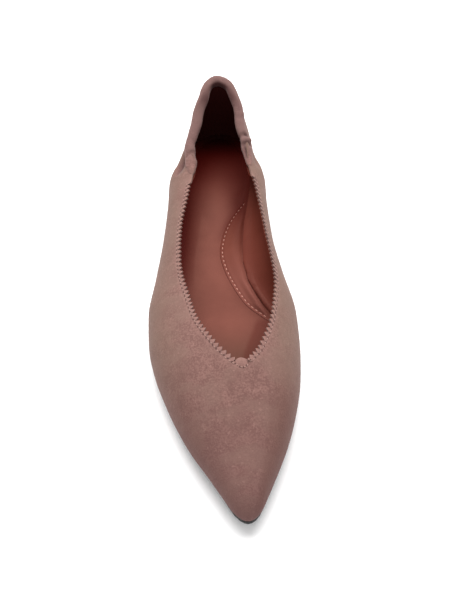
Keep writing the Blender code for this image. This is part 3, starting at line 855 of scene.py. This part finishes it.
# The rim's points and the seam's points below them, from which the tongue of the V is drawn.
rim = border_of(upper, max)
skin = points_of(upper)
beside = {i: [] for i in rim}
for edge in upper.data.edges:
    a, b = edge.vertices
    for i, j in ((a, b), (b, a)):
        if i in beside and j not in beside:
            beside[i].append(j)
below = [min(beside[i], key=lambda j: np.linalg.norm(skin[i] - skin[j])) for i in rim]
from_bottom = np.arange(len(rim)) - int(np.argmin(skin[below][:, 1]))
from_bottom *= -1 if skin[rim[0]][1] < skin[rim[1]][1] and skin[rim[1]][0] > 0 else 1
for row, moves in ((rim, TONGUE_EDGE), (below, TONGUE_SEAM)):
    for i, at in zip(row, from_bottom):
        x, y = moves.get(int(at), (0, 0))
        y += np.interp(at, *THROAT_LIFT)
        skin[i] += MM * np.array((x, y, TONGUE_SLOPE * y))
turned = turns_at(skin, rim)
hang = np.linalg.norm(skin[rim] - skin[below], axis=1)
at_collar = (skin[rim][:, 1] > COLLAR_FRONT) & (hang < SEAM_BELOW_TIPS - COLLAR_RISE)
pinked = np.array([skin[i][1] < FIRST_TOOTH[1 if skin[i][0] > 0 else -1] for i in rim])
seam_run = run_along(skin[below])

# Where each point lies along the seam and below the teeth, and which points are tips and notches.
sharp_tips, run, depth, lit_tooth_band, notch_shade = (np.zeros(len(skin)) for _ in range(5))
seam_tree = tree_of(skin[below])
for i, point in enumerate(skin):
    _, k, distance = seam_tree.find(point)
    run[i] = seam_run[k]
    depth[i] = SEAM_BELOW_TIPS + distance if pinked[k] else FAR_FROM_SEAM
# Along the rim the teeth are marked for a painted highlight, the notches for painted shade.
for k, i in enumerate(rim):
    run[i] = seam_run[k]
    if pinked[k]:
        depth[i] = SEAM_BELOW_TIPS - hang[k]
        lit_tooth_band[i] = min(1 - depth[i] / SEAM_BELOW_TIPS, 1)
    if turned[k] > PINKED_TURN:
        sharp_tips[i] = 1
        if pinked[k] and hang[k] < hang[k - 1]:
            notch_shade[i] = STRONG_NOTCH_SHADE if skin[i][0] > 0 and skin[i][1] > STRONG_NOTCH_SHADE_FROM else 1
# Painted shade on the lower sides, fading with distance from the sole's edge.
sole_edge = tree_of(skin[border_of(upper, min)])
sole_shade = [math.exp(-sole_edge.find(point)[2] / SOLE_BAND) for point in skin]
for name, values in (("crease_vert", sharp_tips), ("seam_run", run), ("seam_depth", depth),
                     ("lit_tooth_band", lit_tooth_band), ("notch_shade", notch_shade), ("sole_shade", sole_shade)):
    store(upper, name, values)

tucked = skin.copy()
for k, i in enumerate(rim):
    if at_collar[k]:
        tucked[i] += (skin[i] - skin[below[k]]) / hang[k] * COLLAR_TUCK
move_points(upper, tucked)
apply_modifier(upper, "SUBSURF", levels=2, render_levels=2)
fold(upper, WALL_FOLDS)
finished, finished_normals = points_of(upper), normals_of(upper)
steep = soft_step(abs(finished_normals[:, 0]) - STEEP_FROM, STEEP_RUN)
# Painted shade on the toe's steep sides, stronger on the inner side.
medial = np.where(finished_normals[:, 0] > 0, 1, OUTER_TOE_SHARE)
store(upper, "side_tone", steep * soft_step(finished[:, 1] - SIDE_TONE_FROM, SIDE_TONE_RUN))
store(upper, "toe_side_shade", medial * steep * soft_step(TOE_SIDE_FROM - finished[:, 1], TOE_SIDE_RUN))
run, depth = (np.empty(len(finished)) for _ in range(2))
upper.data.attributes["seam_run"].data.foreach_get("value", run)
upper.data.attributes["seam_depth"].data.foreach_get("value", depth)
apply_modifier(upper, "SOLIDIFY", thickness=SUEDE_THICK, offset=-1)
bpy.ops.object.shade_smooth_by_angle(angle=LEATHER_SMOOTH)

suede = Finish(bpy.data.materials.new("dusty_rose_suede"))
patch, mottle, streak = suede.noise(*PATCH), suede.noise(*MOTTLE), suede.noise(*STREAK)
nap, brushed, speck = suede.noise(*NAP), suede.noise(*BRUSHED), suede.noise(*SPECK)
pile = 0.6 * nap + 0.15 * streak + 0.25 * mottle
step_along = (suede.attribute("seam_run") / NEEDLE_PITCH).fraction() - 0.5
step_below = (suede.attribute("seam_depth") - NEEDLE_BELOW_TIPS) * SEAM_STRETCH / NEEDLE_PITCH
hole_edge = (share * NEEDLE_SIZE / NEEDLE_PITCH for share in NEEDLE_EDGE)
needle_hole = 1 - ((step_along**2 + step_below**2) ** 0.5).between(*hole_edge)
colour = suede.mix(pile.between(*PILE_SHOWS), SUEDE_DEEP, SUEDE)
colour = suede.mix(PATCH_SHARE * patch.between(*PATCH_SHOWS), colour, SUEDE_GREY)
colour = suede.mix(BRUSHED_SHARE * brushed.between(*BRUSHED_SHOWS), colour, SUEDE_DEEP)
colour = suede.mix(SPECK_SHARE * speck.between(*SPECK_SHOWS), colour, SUEDE_SPECK_AND_LIT_TIP)
colour = suede.overlay(colour, SUEDE_TONES)
# Painted shade in the notches between the teeth.
colour = suede.mix(NOTCH_SHARE * suede.attribute("notch_shade").between(*NOTCH_SHOWS), colour, SUEDE_FOLD_SHADE)
# Painted shade on the roll's inner face at the back of the collar.
colour = suede.mix(suede.attribute("lined_shade"), colour, LINING_SHADE)
# Painted shade towards the toe and near the sole.
to_toe = 1 - suede.place("Y").between(*TOE_SHADE_RUN)
colour = suede.mix(TOE_SHADE_SHARE * to_toe, colour, SUEDE_SHADE)
colour = suede.mix(SOLE_BAND_SHARE * suede.attribute("sole_shade"), colour, SUEDE_SHADE)
suede.fill(suede.shader, {
    "Base Color": suede.mix(NEEDLE_SHARE * needle_hole, colour, NEEDLE_DARK),
    "Roughness": 0.9 + 0.1 * nap,
    "Normal": suede.bump(nap + 0.4 * streak - 1.5 * needle_hole, 0.5, NAP_DEPTH),
    "Sheen Weight": 0.04,
    "Sheen Roughness": 0.45,
    "Sheen Tint": (1.0, 0.86, 0.82, 1),
})
dress(upper, suede, "suede", "upper")

# Throat stitches: a rose thread sewn round below the teeth to hold suede and lining together, its
# stitches lying between the needle holes.
ROSE_LIGHT = (0.34, 0.205, 0.172, 1)
ROSE_DEEP = (0.22, 0.120, 0.100, 1)
THROAT_STITCH, THROAT_STITCH_RAISED = (1.4 * MM, 0.55 * MM, 0.4 * MM), 0.1 * MM
SEAM_NEIGHBOURS, SEAM_NEAREST = 4, 0.05 * MM
SEAM_BREAK = 3 * NEEDLE_PITCH

rose_thread = Finish(bpy.data.materials.new("rose_thread"))
rose_thread.fill(rose_thread.shader, {
    "Base Color": rose_thread.mix(rose_thread.noise(THREAD_TWIST), ROSE_DEEP, ROSE_LIGHT), "Roughness": 0.8,
})
on_seam = tree_of([(along, deep, 0) for along, deep in zip(run, depth)])
seam_places = []
for at in np.arange(0, seam_run[-1], NEEDLE_PITCH):
    if pinked[min(np.searchsorted(seam_run, at), len(rim) - 1)]:
        near = on_seam.find_n((at, NEEDLE_BELOW_TIPS, 0), SEAM_NEIGHBOURS)
        weights = np.array([1 / (distance + SEAM_NEAREST) for _, _, distance in near])
        weights /= weights.sum()
        picked = [k for _, k, _ in near]
        seam_places.append((weights @ finished[picked], weights @ finished_normals[picked]))
seats = []
for (before, _), (place, normal), (after, _) in zip(seam_places, seam_places[1:], seam_places[2:]):
    if np.linalg.norm(after - before) < SEAM_BREAK:
        seat = Vector(place + THROAT_STITCH_RAISED * normal)
        seats.append((seat, Vector(after - before).normalized(), Vector(normal)))
throat_stitches = sew("throat_stitches", THROAT_STITCH, seats)
dress(throat_stitches, rose_thread, "suede")

# Collar casing: the suede folded over an elastic and sewn down as a soft roll round the back of the
# collar. The elastic pulls it in, so it puckers, gathers at both ends and runs out along the throat.
CASING_FRONT, CASING_END_FACING = 0.095, -0.75
CASING_FULLNESS = 0.45 * MM
PUCKER, PUCKER_LENGTH, PUCKER_WIDTH = 0.3 * MM, 2.4 * MM, 6 * MM
CASING_LEAN, CASING_LEAN_FROM, CASING_LEAN_RUN = 0.9 * MM, 0.095, 0.025
CASING_INNER, CASING_INNER_FROM, CASING_INNER_RUN, CASING_INNER_FADE = 0.8 * MM, 3 * MM, 6 * MM, 8 * MM
HEM_TONE_FROM, HEM_TONE_RUN = 0.070, 0.020
# Painted shade on the roll's inner face at the back, in the lining's dark shade colour.
LINED_SHADE_FROM, LINED_SHADE_RUN = 0.108, 8 * MM
LINED_SHADE_BELOW, LINED_SHADE_TOP_FADE = 62 * MM, 2 * MM
LINED_SHADE_TURN, LINED_SHADE_TURN_RUN = 0.3, 0.4
LINED_SHADE_BACK, LINED_SHADE_BACK_RUN = 0.3, 0.2
# The roll's run-out along the throat on the lateral and the medial side: its thickness, its height and
# how far it stands proud at each point, in millimetres.
HEM = {
    -1: [(5.0, 6.2, 0.8), (5.4, 6.4, 0.9), (4.8, 5.8, 0.8), (3.0, 3.8, 0.3), (1.6, 2.4, 0)],
    1: [(5.6, 6.0, 0.7), (5.2, 5.4, 0.5), (4.2, 4.6, 0.3), (2.8, 3.4, 0.1), (1.6, 2.2, 0)],
}
# The gathers of the roll at its two ends, given as the folds of the wall are.
CASING_FOLDS = [
    ([(-14, 83.5, 42), (-15.5, 83, 44.2), (-18, 82, 44), (-20.5, 81, 41)], -1.1, 1.6),
    ([(11.5, 93.2, 43.5), (12.8, 93.4, 46), (15, 93.7, 47), (17, 94, 45.5), (18.6, 94.3, 42)], -2.2, 1.3),
    ([(16, 91.2, 46.4), (17.6, 91, 45.2), (18.6, 90.8, 43)], 1.3, 1.7),
    ([(12, 87.8, 43), (13.5, 87.9, 45.5), (15.5, 88, 46), (17.6, 88.2, 44.5), (18.6, 88.5, 41)], -1.8, 1.2),
    ([(13, 88, 45.4), (13.2, 84.8, 44.3), (13.8, 80.8, 43.3), (14.8, 77, 42.7)], -2.0, 1.5),
]

down = (skin[below] - skin[rim]) / hang[:, None]
casing = copy_of_node("collar_casing", "suede_casing")
for side in (-1, 1):
    hem = [k for k, i in enumerate(rim) if side * skin[i][0] > 0 and not at_collar[k] and not pinked[k]]
    hem = sorted(hem, key=lambda k: -skin[rim[k]][1])
    ahead = np.gradient(skin[rim][hem], axis=0)
    frames = []
    for k, forward, (thick, high, proud) in zip(hem, ahead, MM * np.array(HEM[side])):
        out = np.cross(forward, down[k])
        out *= math.copysign(1, out[2]) / np.linalg.norm(out)
        middle = skin[rim[k]] + down[k] * high / 2 - out * (thick / 2 - proud)
        frames.append((middle, out * thick / 2, -down[k] * high / 2))

    # The roll's end face is picked, and its outline is kept as shares of its thickness and height.
    unselect_all(casing, "FACE")
    for face in casing.data.polygons:
        at_end = side * face.center.x > 0 and face.center.y < CASING_FRONT
        face.select = face.normal.y < CASING_END_FACING and at_end
    cap = sorted({i for face in casing.data.polygons if face.select for i in face.vertices})
    ring = points_of(casing)[cap]
    from_middle = ring - ring.mean(axis=0)
    shape = np.array([from_middle @ axis / (axis @ axis) for axis in frames[0][1:]]).T
    shape /= abs(shape).max(axis=0)
    shape_at = tree_of(ring)
    for middle, across, upward in frames:
        bpy.ops.object.mode_set(mode="EDIT")
        bpy.ops.mesh.extrude_region_move()
        bpy.ops.object.mode_set(mode="OBJECT")
        points, placed = points_of(casing), ring.copy()
        for vertex in casing.data.vertices:
            if vertex.select:
                i = shape_at.find(vertex.co)[1]
                placed[i] = middle + shape[i][0] * across + shape[i][1] * upward
                points[vertex.index] = placed[i]
        shape_at = tree_of(placed)
        move_points(casing, points)
apply_modifier(casing, "SUBSURF", levels=2, render_levels=2)

# Every point's place along the roll decides how far it puckers.
back_first = [k for k in range(len(rim)) if not pinked[k]]
gap = int(np.argmax(np.diff(back_first))) + 1
roll_line = skin[rim][back_first[gap:] + back_first[:gap]]
roll_run = run_along(roll_line)
roll, outward = points_of(casing), normals_of(casing)
apart = np.linalg.norm(roll[:, None] - roll_line[None], axis=2)
near, far = apart.argsort(axis=1)[:, :2].T
to_near, to_far = (apart[np.arange(len(roll)), k] for k in (near, far))
run_at = roll_run[near] + to_near / (to_near + to_far) * (roll_run[far] - roll_run[near])
puckers = [noise.noise(Vector((at / PUCKER_LENGTH, x / PUCKER_WIDTH, 0)))
           for at, x in zip(run_at, roll[:, 0])]
roll += (CASING_FULLNESS + PUCKER * np.array(puckers))[:, None] * outward
lateral_inner = np.clip(outward[:, 0], 0, 1) * soft_step(-roll[:, 0] - CASING_INNER_FROM, CASING_INNER_RUN)
roll[:, 0] += CASING_INNER * lateral_inner * soft_step(roll[:, 1] - CASING_LEAN_FROM, CASING_INNER_FADE)
roll[:, 1:] += CASING_LEAN * soft_step(roll[:, 1] - CASING_LEAN_FROM, CASING_LEAN_RUN)[:, None]
move_points(casing, roll)
store(casing, "collar_tone", soft_step(roll[:, 1] - HEM_TONE_FROM, HEM_TONE_RUN))
# Painted shade where the roll's inner face at the back looks down and forwards.
faces_in = np.clip(-outward[:, 2], 0, 1) - outward[:, 1]
inner_side = soft_step(faces_in - LINED_SHADE_TURN, LINED_SHADE_TURN_RUN)
inner_side *= soft_step(LINED_SHADE_BACK - outward[:, 1], LINED_SHADE_BACK_RUN)
inner_side *= soft_step(roll[:, 1] - LINED_SHADE_FROM, LINED_SHADE_RUN)
store(casing, "lined_shade", inner_side * soft_step(LINED_SHADE_BELOW - roll[:, 2], LINED_SHADE_TOP_FADE))
fold(casing, CASING_FOLDS)
bpy.ops.object.shade_smooth()
dress(casing, suede, "suede", "collar_casing")

# Studio: a white floor under a pale sky, a large soft light behind the heel and a camera in front of the
# toe, looking down along the shoe.
FLOOR_SIZE, FLOOR_DROP = 40, 0.2 * MM
FLOOR_WHITE = (0.96, 0.96, 0.96, 1)
SKY_LOW, SKY_HIGH, SKY_RUN = (1, 1, 1, 1), (0.62, 0.62, 0.62, 1), (0.1, 0.5)
LIGHT_PLACE, LIGHT_SIZE, LIGHT_WATTS = Vector((0, 0.7, 1.27)), 1.3, 38
ELEVATION, AZIMUTH, ROLL = math.radians(52.6), math.radians(1.3), math.radians(-2.26)
AIM, DISTANCE = Vector((1.16, -3.6, 15)) * MM, 493 * MM
LENS, SENSOR = 54, 36

bpy.ops.object.select_all(action="DESELECT")
bpy.ops.mesh.primitive_plane_add(size=FLOOR_SIZE, location=(0, 0, -FLOOR_DROP))
floor = bpy.context.object
floor.name = "studio_floor"
white = Finish(bpy.data.materials.new("studio_white"))
white.fill(white.shader, {
    "Base Color": FLOOR_WHITE, "Roughness": 0.8,
    "Emission Color": (1, 1, 1, 1), "Emission Strength": 0.05,
})
floor.data.materials.append(white.block)

sky = Finish(bpy.data.worlds.new("studio"), "Background")
towards = sky.node("ShaderNodeTexCoord", {}, {}, "Generated")
upwards = sky.node("ShaderNodeSeparateXYZ", {}, {0: towards}, "Z")
sky.fill(sky.shader, {"Color": sky.mix(upwards.between(*SKY_RUN), SKY_LOW, SKY_HIGH), "Strength": 1.12})
bpy.context.scene.world = sky.block
bpy.context.scene.view_settings.view_transform = "Standard"

glow = bpy.data.lights.new("behind_heel", "AREA")
glow.size, glow.energy = LIGHT_SIZE, LIGHT_WATTS
light = bpy.data.objects.new("behind_heel", glow)
light.location = LIGHT_PLACE
light.rotation_euler = (Vector((0, 0, 0)) - LIGHT_PLACE).to_track_quat("-Z", "Y").to_euler()
bpy.context.scene.collection.objects.link(light)

back = Vector((math.sin(AZIMUTH) * math.cos(ELEVATION), -math.cos(AZIMUTH) * math.cos(ELEVATION),
               math.sin(ELEVATION)))
right = Vector((math.cos(AZIMUTH), math.sin(AZIMUTH), 0))
up = back.cross(right)
right, up = (math.cos(ROLL) * right + math.sin(ROLL) * up, math.cos(ROLL) * up - math.sin(ROLL) * right)
lens = bpy.data.cameras.new("camera")
lens.lens, lens.sensor_width = LENS, SENSOR
camera = bpy.data.objects.new("camera", lens)
camera.matrix_world = Matrix((right, up, back)).transposed().to_4x4()
camera.location = AIM + DISTANCE * back
bpy.context.scene.collection.objects.link(camera)
bpy.context.scene.camera = camera
